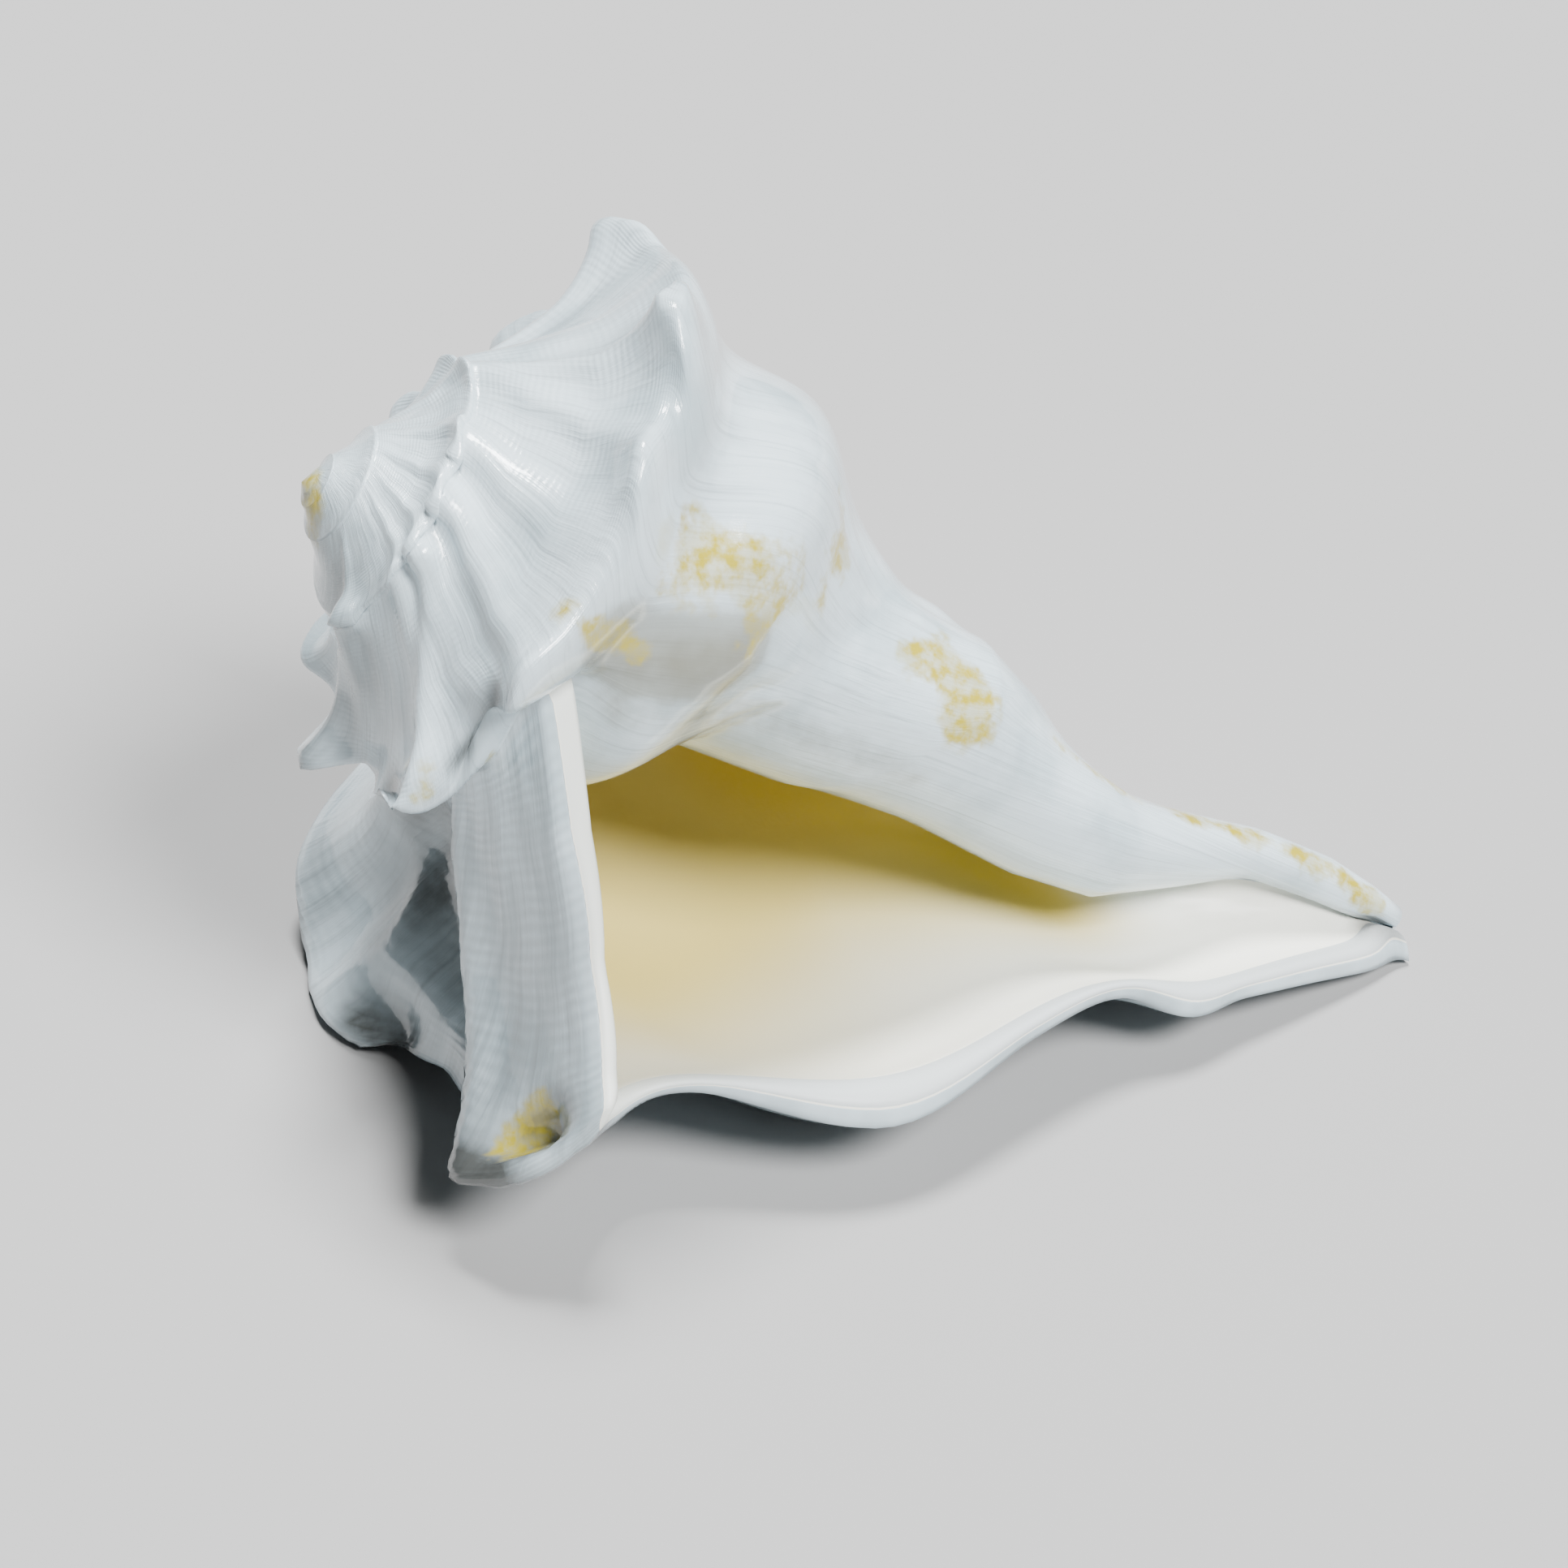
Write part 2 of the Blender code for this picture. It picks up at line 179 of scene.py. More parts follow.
def unevenness(growth, u):
    # ripple * noise along the growth, a little bent from row to row, plus facet * broad noise
    v = skinValues
    bend = growth + 3.0 * latticeNoise(growth / 40.0, u * 0.9, v["seed"] + 2)
    fine = latticeNoise(bend / v["rippleStep"], u * 0.25, v["seed"])
    strength = 0.5 + 0.5 * latticeNoise(growth / 30.0, u * 0.8, v["seed"] + 1)
    broad = latticeNoise(bend / v["facetStep"][0], u / v["facetStep"][1], v["seed"] + 3)
    return v["ripple"] * fine * strength + v["facet"] * broad * smoothStep(2.5, 5.0, u)


# Valley behind the lip: place on the growth line, edge towards the lip, far edge, depth
valleyLine = [(0, -36, -82, 0.02), (1, -34, -76, 0.03), (1.9, -33, -64, 0.032),
              (2.6, -28, -48, 0.022), (3.1, -18, -30, 0.006), (3.6, -14, -24, 0)]

# Callus on the body inside the aperture: place, edge, thickness
callusLine = [(5, -306, 0), (6.1, -311, 0), (6.6, -315, 0.012), (7.3, -325, 0.02),
              (8, -318, 0.018), (8.9, -297, 0.008), (10, -275, 0)]


def relief(growth, u):
    # valley = depth between its two edges, callus = thickness past its edge, both eased in
    table = np.array(valleyLine, float)
    near = np.interp(u, table[:, 0], table[:, 1])
    far = np.interp(u, table[:, 0], table[:, 2])
    depth = np.interp(u, table[:, 0], table[:, 3])
    valley = depth * smoothStep(near + 1.0, near - 9.0, growth)
    valley = valley * smoothStep(far - 6.0, far + 8.0, growth)
    table = np.array(callusLine, float)
    edge = np.interp(u, table[:, 0], table[:, 1])
    thick = np.interp(u, table[:, 0], table[:, 2])
    callus = thick * smoothStep(edge + 4.0, edge - 20.0, growth)
    callus = callus * smoothStep(-470.0, -430.0, growth)
    return valley, callus


# One growth line at full size: radius and height down from the apex
growthLine = [(0.1862, 0.1900), (0.2301, 0.2310), (0.2955, 0.2783), (0.3673, 0.3074),
              (0.3983, 0.3223), (0.3750, 0.3703), (0.3294, 0.4296), (0.3104, 0.5604),
              (0.2108, 0.6587), (0.1564, 0.7314), (0.1432, 0.7969), (0.1191, 0.8427),
              (0.0803, 0.9005), (0.0480, 0.9590), (0.0200, 0.9820)]

# Where the lip edge stands, as (place on the growth line, angle)
lipEdge = [(0, -35.3), (1, -50.2), (2, -60.9), (3, -63.4), (4, -62.0), (5, -61.0),
           (7, -62.0), (9, -59.6), (11, -58.0), (13, -52.3), (14, -47.8)]

# Rows of the fine mesh between the seam, the joint, the base and the canal tip
rowValues = {"top": 44, "band": 8, "low": 72, "pillar": 24}


def toPoints(r, z, phi):
    # cylinder coordinates to x, y, z with the apex at the top
    angle = np.radians(phi)
    return np.stack([r * np.cos(angle), r * np.sin(angle), -z], -1)


def shellGrid():
    # radius = line radius * scale, height = line height * scale ^ power,
    # scale = expansion ^ (angle / 360); each turn's seam is pulled onto the turn before it, the
    # worn crest is an average of its neighbours, and the base is kept clear of the pillar
    v = shellValues
    perTurn = v["columnsPerTurn"]
    step = 360.0 / perTurn
    count = int(round(v["turns"] * perTurn))
    growth = (np.arange(count + 1) - count) * step
    end = len(growthLine) - 1.0
    seam = v["seamRow"] + (v["seamRowLip"] - v["seamRow"]) * smoothStep(-460.0, -380.0, growth)
    band = seam + v["band"]
    top = np.linspace(0, 1, rowValues["top"] + 1)[None, :] * seam[:, None]
    mid = seam[:, None] + np.linspace(0, 1, rowValues["band"] + 1)[None, 1:] * v["band"]
    low = band[:, None] + np.linspace(0, 1, rowValues["low"] + 1)[None, 1:] * (end - band)[:, None]
    u = np.concatenate([top, mid, low], 1)
    edge = np.array(lipEdge, float)
    slant = np.interp(u, edge[:, 0], edge[:, 1])
    pinned = v["seamAngle"] - v["seamShift"] * step - np.interp(seam, edge[:, 0], edge[:, 1])
    slant = slant + pinned[:, None] * np.exp(-((u - seam[:, None]) / 1.2) ** 2)
    slant[:, 0] = v["seamAngle"]
    phi = growth[:, None] + slant
    scale = v["whorlExpansion"] ** ((phi - v["referenceAngle"]) / 360.0)
    shape = curveAt(growthLine, u)
    rise = smoothStep(v["shoulder"], v["shoulder"] + 5.0, u)
    power = v["spirePower"] + (1.0 - v["spirePower"]) * rise
    r = shape[..., 0] * scale
    z = shape[..., 1] * scale ** power
    valley, callus = relief(np.repeat(growth[:, None], u.shape[1], 1), u)
    r = r + (callus - 0.5 * valley) * scale
    z = z + 0.85 * valley * scale
    plainR = r.copy()
    plainZ = z.copy()
    atShoulder = float(np.interp(v["shoulder"], edge[:, 0], edge[:, 1]))
    grown = np.repeat(growth[:, None], u.shape[1], 1)
    line = grown + atShoulder
    out, down = knobPush(line, u, scale)
    rough = unevenness(grown, u) * scale
    r = r + out + rough
    z = z + down
    turn = perTurn - v["seamShift"]
    topRows = rowValues["top"]
    weight = np.clip(1.0 - u / v["shoulder"], 0.0, 1.0) ** 1.5
    for start in range(turn, count + 1, turn):
        cols = np.arange(start, min(start + turn, count + 1))
        dr = (r[cols - turn, topRows] - r[cols, 0])[:, None] * weight[cols]
        dz = (z[cols - turn, topRows] - z[cols, 0])[:, None] * weight[cols]
        r[cols] += dr
        z[cols] += dz
        plainR[cols] += dr
        plainZ[cols] += dz
    wearStart, wearFull, wearLess, wearEnd = v["wear"]
    worn = smoothStep(wearStart, wearFull, grown) * (1.0 - smoothStep(wearLess, wearEnd, grown))
    worn = worn * np.exp(-((u - v["shoulder"] - 0.1) / 1.1) ** 4)
    flatR = r.copy()
    flatZ = z.copy()
    for _ in range(v["wearRounds"]):
        flatR[:, 1:-1] = 0.25 * flatR[:, :-2] + 0.5 * flatR[:, 1:-1] + 0.25 * flatR[:, 2:]
        flatZ[:, 1:-1] = 0.25 * flatZ[:, :-2] + 0.5 * flatZ[:, 1:-1] + 0.25 * flatZ[:, 2:]
    r = r + worn * (flatR - r)
    z = z + worn * (flatZ - z)
    core = pillarRadius(z, phi) + 0.75 * v["wall"] * scale
    soft = 0.5 * (r + core + np.sqrt((r - core) ** 2 + 0.0001 * scale ** 2))
    r = r + (soft - r) * smoothStep(v["shoulder"] + 1.0, v["shoulder"] + 4.0, u)
    return phi, u, r, z, plainR, plainZ, growth


def pillarRows(phiEnd, rEnd, zEnd, zStop):
    # straight on down the pillar: pillar radius + what is left over * exp(-way / 0.04)
    rows = rowValues["pillar"]
    t = np.linspace(0, 1, rows + 1)[None, 1:]
    z = zEnd[:, None] + (zStop - zEnd)[:, None] * t
    extra = (rEnd - pillarRadius(zEnd, phiEnd))[:, None]
    phi = np.repeat(phiEnd[:, None], rows, 1)
    r = pillarRadius(z, phi) + extra * np.exp(-(z - zEnd[:, None]) / 0.04)
    return phi, r, z


# Side of the wall that a face is on: outer skin, older turn seen inside, inner wall, lip rim
sideMarks = {"outer": 0.0, "core": 1.0, "inner": 2.0, "rim": 3.0}


class Net:
    # points and faces of one closed surface, gathered as whole arrays; each corner of a face
    # carries its growth, its place on the growth line and its side of the wall

    def __init__(self):
        self.points = np.zeros((0, 3))
        self.squares = []
        self.triangles = []

    def add(self, points):
        # the new points' numbers, in the shape of the grid they came in
        points = np.asarray(points, float)
        start = len(self.points)
        self.points = np.concatenate([self.points, points.reshape(-1, 3)])
        return start + np.arange(points.size // 3).reshape(points.shape[:-1])

    def sheet(self, ids, marks):
        # squares of a grid, turned to face outwards; two corners on one point make a triangle
        ring = np.stack([ids[:-1, :-1], ids[1:, :-1], ids[1:, 1:], ids[:-1, 1:]], -1)
        note = np.stack([marks[:-1, :-1], marks[1:, :-1], marks[1:, 1:], marks[:-1, 1:]], -2)
        ring = ring.reshape(-1, 4)
        note = note.reshape(-1, 4, 3)
        fresh = np.ones(ring.shape, bool)
        for k in (1, 2, 3):
            fresh[:, k] = (ring[:, k:k + 1] != ring[:, :k]).all(1)
        whole = fresh.all(1)
        three = fresh.sum(1) == 3
        self.squares.append((ring[whole][:, ::-1], note[whole][:, ::-1]))
        self.triangles.append((ring[three][fresh[three]].reshape(-1, 3)[:, ::-1],
                               note[three][fresh[three]].reshape(-1, 3, 3)[:, ::-1]))

    def fan(self, ring, point, mark):
        # a triangle from each edge of the ring to one point in its middle
        centre = np.full(len(ring), self.add(point))
        faces = np.stack([centre, np.roll(ring, -1), ring], -1)
        faces = faces[faces[:, 1] != faces[:, 2]]
        self.triangles.append((faces, np.tile(np.array(mark), (len(faces), 3, 1))))

    def gathered(self):
        # points that a face uses, squares, triangles, and the marks of all their corners
        squares = np.concatenate([ring for ring, note in self.squares])
        triangles = np.concatenate([ring for ring, note in self.triangles])
        marks = [note.reshape(-1, 3) for ring, note in self.squares + self.triangles]
        used = np.unique(np.concatenate([squares.ravel(), triangles.ravel()]))
        return (self.points[used], np.searchsorted(used, squares),
                np.searchsorted(used, triangles), np.concatenate(marks))


def marksOf(growth, place, side):
    # growth, place and side side by side for every point of a grid
    growth, place, side = np.broadcast_arrays(growth, place, side)
    return np.stack([growth, place, side], -1)


def wallTips(growth, phi, z):
    # how far down the pillar each column runs: the height of the wall's own tip one turn later,
    # held just below its own start, and eased to the very end under the lip
    v = shellValues
    count = len(growth) - 1
    perTurn = v["columnsPerTurn"]
    order = np.arange(count + 1)
    stop = np.where(order <= count - perTurn, np.roll(z, -perTurn) * v["cavityFloor"], 1.0)
    between = (order > count - perTurn) & (order < count - perTurn + v["seamShift"])
    gap = (order - (count - perTurn)) / float(v["seamShift"])
    stop = np.where(between, v["cavityFloor"] + (1.0 - v["cavityFloor"]) * gap, stop)
    return np.maximum(stop, z + 0.006)


def innerWall(cols, phi, r, z, plainR, plainZ, er, ez):
    # the growth line moved inwards by wall * scale across its own direction, smoothed, kept
    # clear of the pillar, then led to the joint by (1 - s)^5 and to the cavity floor by s^9
    v = shellValues
    perTurn = v["columnsPerTurn"]
    last = phi.shape[1] - 1
    scale = v["whorlExpansion"] ** ((phi[cols] - v["referenceAngle"]) / 360.0)
    ir = plainR[cols] * 0.7 + r[cols] * 0.3
    iz = plainZ[cols] * 0.7 + z[cols] * 0.3
    tr = np.gradient(ir, axis=1)
    tz = np.gradient(iz, axis=1)
    size = np.sqrt(tr ** 2 + tz ** 2) + 1e-9
    ir = ir - v["wall"] * scale * tz / size
    iz = iz + v["wall"] * scale * tr / size
    for _ in range(v["innerRounds"]):
        ir[:, 1:-1] = 0.25 * ir[:, :-2] + 0.5 * ir[:, 1:-1] + 0.25 * ir[:, 2:]
        iz[:, 1:-1] = 0.25 * iz[:, :-2] + 0.5 * iz[:, 1:-1] + 0.25 * iz[:, 2:]
    iphi = phi[cols].copy()
    s = np.linspace(0, 1, last + 1)[None, :]
    joint = cols - (perTurn - v["seamShift"])
    floor = cols - perTurn
    bandRow = rowValues["top"] + rowValues["band"]
    head = (1.0 - s) ** 5
    foot = s ** 9
    clear = pillarRadius(iz, iphi) + 0.3 * v["wall"] * scale
    ir = 0.5 * (ir + clear + np.sqrt((ir - clear) ** 2 + 0.00002))
    ir = ir + head * (r[joint, bandRow] - ir[:, 0])[:, None]
    iz = iz + head * (z[joint, bandRow] - iz[:, 0])[:, None]
    iphi = iphi + head * (phi[joint, bandRow] + 360.0 - iphi[:, 0])[:, None]
    ir = ir + foot * (er[floor, -1] - ir[:, -1])[:, None]
    iz = iz + foot * (ez[floor, -1] - iz[:, -1])[:, None]
    return toPoints(ir, iz, iphi)


def shellNet():
    # one closed sheet: spire and shoulder, outside of the last turn, older turn seen through
    # the aperture, inner face of the wall, rounded lip, canal tip and deep end
    v = shellValues
    phi, u, r, z, plainR, plainZ, growth = shellGrid()
    count = len(growth) - 1
    perTurn = v["columnsPerTurn"]
    topRows = rowValues["top"]
    band = rowValues["band"]
    turn = perTurn - v["seamShift"]
    seamCol = count - turn
    last = phi.shape[1] - 1
    rows = last + rowValues["pillar"]
    bandRow = topRows + band
    deepCol = count - int(round(v["cavityDepth"] / 360.0 * perTurn))
    coreCol = deepCol - perTurn
    outer, core, inner, rim = [sideMarks[name] for name in ("outer", "core", "inner", "rim")]

    # all points of the outer skin and the pillar; a turn's first row is the row of the turn before
    ephi, er, ez = pillarRows(phi[:, last], r[:, last], z[:, last],
                              wallTips(growth, phi, z[:, last]))
    net = Net()
    skin = toPoints(r, z, phi)
    ids = net.add(np.concatenate([skin, toPoints(er, ez, ephi)], 1))
    ids[turn:, 0] = ids[:-turn, topRows]
    ids[count, last + 1:] = ids[count, last]
    further = u[:, last:] + v["pillarStep"] * np.arange(1, rowValues["pillar"] + 1)
    place = np.concatenate([u, further], 1)

    # spire and shoulder, closed at the nucleus
    marks = marksOf(growth[:, None], place, outer)
    net.sheet(ids[:, :topRows + 1], marks[:, :topRows + 1])
    tip = skin[0, :topRows + 1].mean(0) * 0.5
    net.fan(np.concatenate([ids[0, :topRows + 1], ids[turn - 1:0:-1, 0]]),
            (tip[0] * 0.3, tip[1] * 0.3, min(0.0, tip[2] * 0.6)), (growth[0], 0.0, outer))

    # outside of the last turn, and the older turn seen through the aperture
    net.sheet(ids[seamCol:, topRows:], marks[seamCol:, topRows:])
    marks = marksOf(growth[:, None], place, core)
    older = slice(coreCol, seamCol + 1)
    net.sheet(ids[older, bandRow:][::-1, ::-1], marks[older, bandRow:][::-1, ::-1])

    # inner face of the wall, from the joint to the cavity floor
    cols = np.arange(deepCol, count + 1)
    wall = innerWall(cols, phi, r, z, plainR, plainZ, er, ez)
    inside = np.concatenate([ids[cols - turn, bandRow][:, None], net.add(wall[:, 1:last]),
                             ids[cols - perTurn, rows][:, None]], 1)
    place = u[cols].copy()
    place[:, 0] = 0.0
    marks = marksOf(growth[cols][:, None], place, inner)
    net.sheet(inside[:, ::-1], marks[:, ::-1])

    # lip: outer edge to inner edge, bulged forward by half the wall * sin(pi t)
    t = np.arange(1, band)[:, None, None] / float(band)
    ahead = np.radians(phi[count])
    forward = np.stack([-np.sin(ahead), np.cos(ahead), np.zeros_like(ahead)], -1)[1:]
    soft = np.minimum(1.0, np.arange(1, last + 1) / 16.0)[:, None]
    bulge = 0.5 * v["wall"] * np.sin(math.pi * t) * soft
    edge = skin[count, 1:] * (1 - t) + wall[-1, 1:] * t + forward * bulge
    start = ids[seamCol, topRows + 1:bandRow][:, None]
    lip = np.concatenate([ids[count:, :last + 1],
                          np.concatenate([start, net.add(edge)], 1), inside[-1:]])
    kind = np.where(np.arange(band + 1) > v["rimStart"] * band, rim, outer)[:, None]
    place = np.repeat(place[-1:], band + 1, 0)
    place[0] = u[count]
    net.sheet(lip, marksOf(growth[count], place, kind))

    # canal tip and deep end
    ring = np.concatenate([ids[seamCol:, rows], lip[1:band, last],
                           ids[count - perTurn:seamCol, rows]])
    middle = net.points[ring].mean(0)
    net.fan(ring, middle - (0.0, 0.0, 0.004), (0.0, 20.0, outer))
    ring = np.concatenate([ids[coreCol, bandRow:], inside[0, -2::-1],
                           ids[coreCol + v["seamShift"] - 1:coreCol:-1, bandRow]])
    net.fan(ring, net.points[ring].mean(0), (growth[deepCol], 5.0, inner))
    return net


def restAxes():
    # rows: along the shell, across it, up from the table
    up = np.array(shellValues["restUp"])
    up = up / np.linalg.norm(up)
    along = np.array([0.0, 0.0, -1.0])
    along = along - up * np.dot(along, up)
    along = along / np.linalg.norm(along)
    return np.stack([along, np.cross(up, along), up])


def toTable(points):
    # turned onto the table, scaled to its real length and moved to the part's origin
    turned = np.asarray(points, float) @ restAxes().T * shellValues["length"]
    return turned - np.array(shellValues["restOffset"])


def spotField(points, spots):
    # strongest of exp(-(distance to the line from a to b / width)^2) * strength over the spots
    field = np.zeros(len(points))
    for a, b, width, strength in spots:
        a = np.array(a)
        way = np.array(b) - a
        t = np.clip((points - a) @ way / max(way @ way, 1e-12), 0.0, 1.0)
        gap = np.linalg.norm(points - a - t[:, None] * way, axis=1)
        field = np.maximum(field, strength * np.exp(-(gap / width) ** 2))
    return field


# Tint of the inner wall: at each place on the growth line, the angles where a tint starts and
# where it is full, and the places between which it fades towards the canal tip
tintValues = {
    "rows": [4.0, 6.3, 7.2, 8.0, 9.0, 10.0, 11.0, 12.0, 14.0],
    "creamStart": [5.0, 2.0, -6.0, -16.0, -20.0, -24.0, -28.0, -32.0, -34.0],
    "creamFull": [-30.0, -42.0, -62.0, -76.0, -72.0, -64.0, -56.0, -50.0, -48.0],
    "mustardStart": [-110.0, -102.0, -88.0, -78.0, -68.0, -58.0, -50.0, -45.0, -43.0],
    "fade": (10.4, 11.9),
}


def insideWarmth(growth, place, side):
    # cream and mustard of the inner wall: both start a set angle in from the lip, row by row
    creamStart = np.interp(place, tintValues["rows"], tintValues["creamStart"])
    creamFull = np.interp(place, tintValues["rows"], tintValues["creamFull"])
    mustardStart = np.interp(place, tintValues["rows"], tintValues["mustardStart"])
    inner = (side == sideMarks["inner"]) * (1.0 - smoothStep(*tintValues["fade"], place))
    cream = 1.0 - smoothStep(creamFull, creamStart, growth)
    mustard = 1.0 - smoothStep(mustardStart - 14.0, mustardStart + 7.0, growth)
    return cream * inner, mustard * inner


def outward(points, squares, triangles):
    # each point's direction: sum of the face directions round it, made one long
    total = np.zeros_like(points)
    a, b, c, d = np.moveaxis(points[squares], 1, 0)
    np.add.at(total, squares, np.cross(c - a, d - b)[:, None])
    a, b, c = np.moveaxis(points[triangles], 1, 0)
    np.add.at(total, triangles, np.cross(b - a, c - a)[:, None])
    return total / (np.linalg.norm(total, axis=1)[:, None] + 1e-12)


# Small forms pressed in or raised: from, to, width and height in metres on the lying shell
smallForms = [((-0.0661, -0.0181, 0.0844), (-0.0660, -0.0180, 0.0843), 0.0020, 0.0014),
              ((-0.0635, -0.0150, 0.0892), (-0.0634, -0.0149, 0.0892), 0.0020, 0.0014),
              ((-0.0608, -0.0099, 0.0934), (-0.0607, -0.0098, 0.0933), 0.0020, 0.0012),
              ((-0.0556, -0.0484, 0.0156), (-0.0526, -0.0488, 0.0198), 0.0017, -0.0040),
              ((-0.0588, -0.0330, 0.0720), (-0.0622, -0.0325, 0.0630), 0.0020, -0.0010),
              ((-0.0736, -0.0134, 0.0730), (-0.0734, -0.0136, 0.0728), 0.0022, 0.0014),
              ((-0.0331, -0.0208, 0.0940), (-0.0300, -0.0190, 0.0880), 0.0060, -0.0012),
              ((-0.0420, -0.0270, 0.0860), (-0.0330, -0.0260, 0.0800), 0.0040, 0.0010),
              ((-0.0548, -0.0525, 0.0212), (-0.0590, -0.0500, 0.0185), 0.0030, -0.0060),
              ((-0.0560, -0.0520, 0.0250), (-0.0600, -0.0490, 0.0235), 0.0028, 0.0012),
              ((-0.0520, -0.0550, 0.0175), (-0.0570, -0.0520, 0.0150), 0.0030, 0.0014),
              ((-0.0668, -0.0270, 0.0612), (-0.0660, -0.0266, 0.0622), 0.0020, -0.0016),
              ((-0.0600, -0.0290, 0.0680), (-0.0635, -0.0280, 0.0585), 0.0022, -0.0028),
              ((-0.0700, -0.0060, 0.0060), (-0.0680, -0.0110, 0.0050), 0.0040, -0.0030),
              ((-0.0725, -0.0290, 0.0560), (-0.0720, -0.0270, 0.0545), 0.0035, -0.0020)]

# Small parts pulled along: from, to, width and way in metres on the lying shell
pulls = [((-0.0640, -0.0050, 0.0370), (-0.0633, -0.0031, 0.0220), 0.0100,
          (0.0030, 0.0018, -0.0004)),
         ((-0.0570, -0.0305, 0.0672), (-0.0480, -0.0291, 0.0670), 0.0060,
          (0.0000, 0.0017, 0.0043)),
         ((-0.0639, -0.0300, 0.0624), (-0.0660, -0.0290, 0.0600), 0.0060,
          (-0.0006, -0.0040, -0.0024)),
         ((-0.0704, -0.0273, 0.0576), (-0.0690, -0.0270, 0.0590), 0.0050,
          (-0.0007, -0.0032, 0.0008)),
         ((0.0770, -0.0045, 0.0035), (0.0750, -0.0030, 0.0040), 0.0030,
          (-0.0006, 0.0004, 0.0013)),
         ((-0.0690, -0.0440, 0.0080), (-0.0690, -0.0430, 0.0075), 0.0050,
          (0.0030, -0.0010, 0.0012))]


def pressForms(points, facing, onOuterSkin):
    # each pull moves points by way * field, each small form moves the outer skin along its
    # direction by height * field; field = exp(-(distance / width)^2)
    for a, b, width, way in pulls:
        field = spotField(points, [(a, b, width, 1.0)])
        points = points + field[:, None] * np.array(way)
    for a, b, width, height in smallForms:
        field = spotField(points, [(a, b, width, 1.0)]) * onOuterSkin
        points = points + facing * (field * height)[:, None]
    return points


# Grey-brown painted shade in hollows, creases and under overhangs, partly dirt: from, to, width,
# strength
shadeAndGrimeSpots = [((-0.0642, -0.0492, 0.0124), (-0.0600, -0.0540, 0.0140), 0.0052, 1.20),
              ((-0.0505, -0.0510, 0.0190), (-0.0485, -0.0545, 0.0205), 0.0036, 0.45),
              ((-0.0556, -0.0484, 0.0156), (-0.0526, -0.0488, 0.0198), 0.0013, 1.50),
              ((-0.0513, -0.0495, 0.0225), (-0.0485, -0.0535, 0.0225), 0.0030, 0.60),
              ((-0.0582, -0.0327, 0.0730), (-0.0601, -0.0330, 0.0674), 0.0015, 0.80),
              ((-0.0601, -0.0330, 0.0674), (-0.0628, -0.0322, 0.0620), 0.0015, 0.90),
              ((-0.0624, -0.0125, 0.0418), (-0.0633, -0.0031, 0.0240), 0.0090, 1.00),
              ((-0.0648, 0.0045, 0.0302), (-0.0650, -0.0020, 0.0220), 0.0060, 0.80),
              ((-0.0601, -0.0133, 0.0158), (-0.0620, -0.0100, 0.0170), 0.0050, 0.50),
              ((-0.0724, -0.0066, 0.0048), (-0.0680, -0.0130, 0.0040), 0.0042, 1.10),
              ((-0.0712, -0.0255, 0.0552), (-0.0638, -0.0297, 0.0585), 0.0026, 0.90),
              ((-0.0605, -0.0270, 0.0660), (-0.0630, -0.0270, 0.0570), 0.0020, 0.80),
              ((-0.0740, 0.0223, 0.0121), (-0.0720, 0.0150, 0.0040), 0.0060, 0.40),
              ((-0.0747, -0.0089, 0.0750), (-0.0720, -0.0129, 0.0641), 0.0060, 0.42),
              ((-0.0720, -0.0129, 0.0641), (-0.0746, -0.0077, 0.0547), 0.0060, 0.42),
              ((-0.0765, -0.0062, 0.0807), (-0.0760, -0.0050, 0.0780), 0.0040, 0.35),
              ((-0.0800, -0.0081, 0.0470), (-0.0790, -0.0070, 0.0480), 0.0030, 0.60)]

# Grey shade inside the canal: from, to, width, strength
canalSpots = [((0.0770, -0.0030, 0.0050), (0.0740, -0.0026, 0.0050), 0.0032, 0.75),
              ((0.0740, -0.0020, 0.0060), (0.0480, -0.0010, 0.0110), 0.0034, 0.16)]

# Brownish painted shade on the polished patch, the parietal edge and the pillar, partly the body's
# own yellowish grey: from, to, width, strength
shadeAndTintSpots = [((-0.0435, -0.0300, 0.0790), (-0.0400, -0.0290, 0.0750), 0.0075, 0.90),
             ((-0.0400, -0.0290, 0.0750), (-0.0270, -0.0245, 0.0715), 0.0080, 0.95),
             ((-0.0423, -0.0284, 0.0674), (-0.0257, -0.0182, 0.0585), 0.0080, 0.52),
             ((-0.0257, -0.0182, 0.0585), (0.0000, -0.0130, 0.0440), 0.0080, 0.52),
             ((0.0000, -0.0130, 0.0440), (0.0225, -0.0112, 0.0268), 0.0060, 0.36),
             ((0.0300, -0.0105, 0.0250), (0.0620, -0.0030, 0.0120), 0.0026, 0.36)]

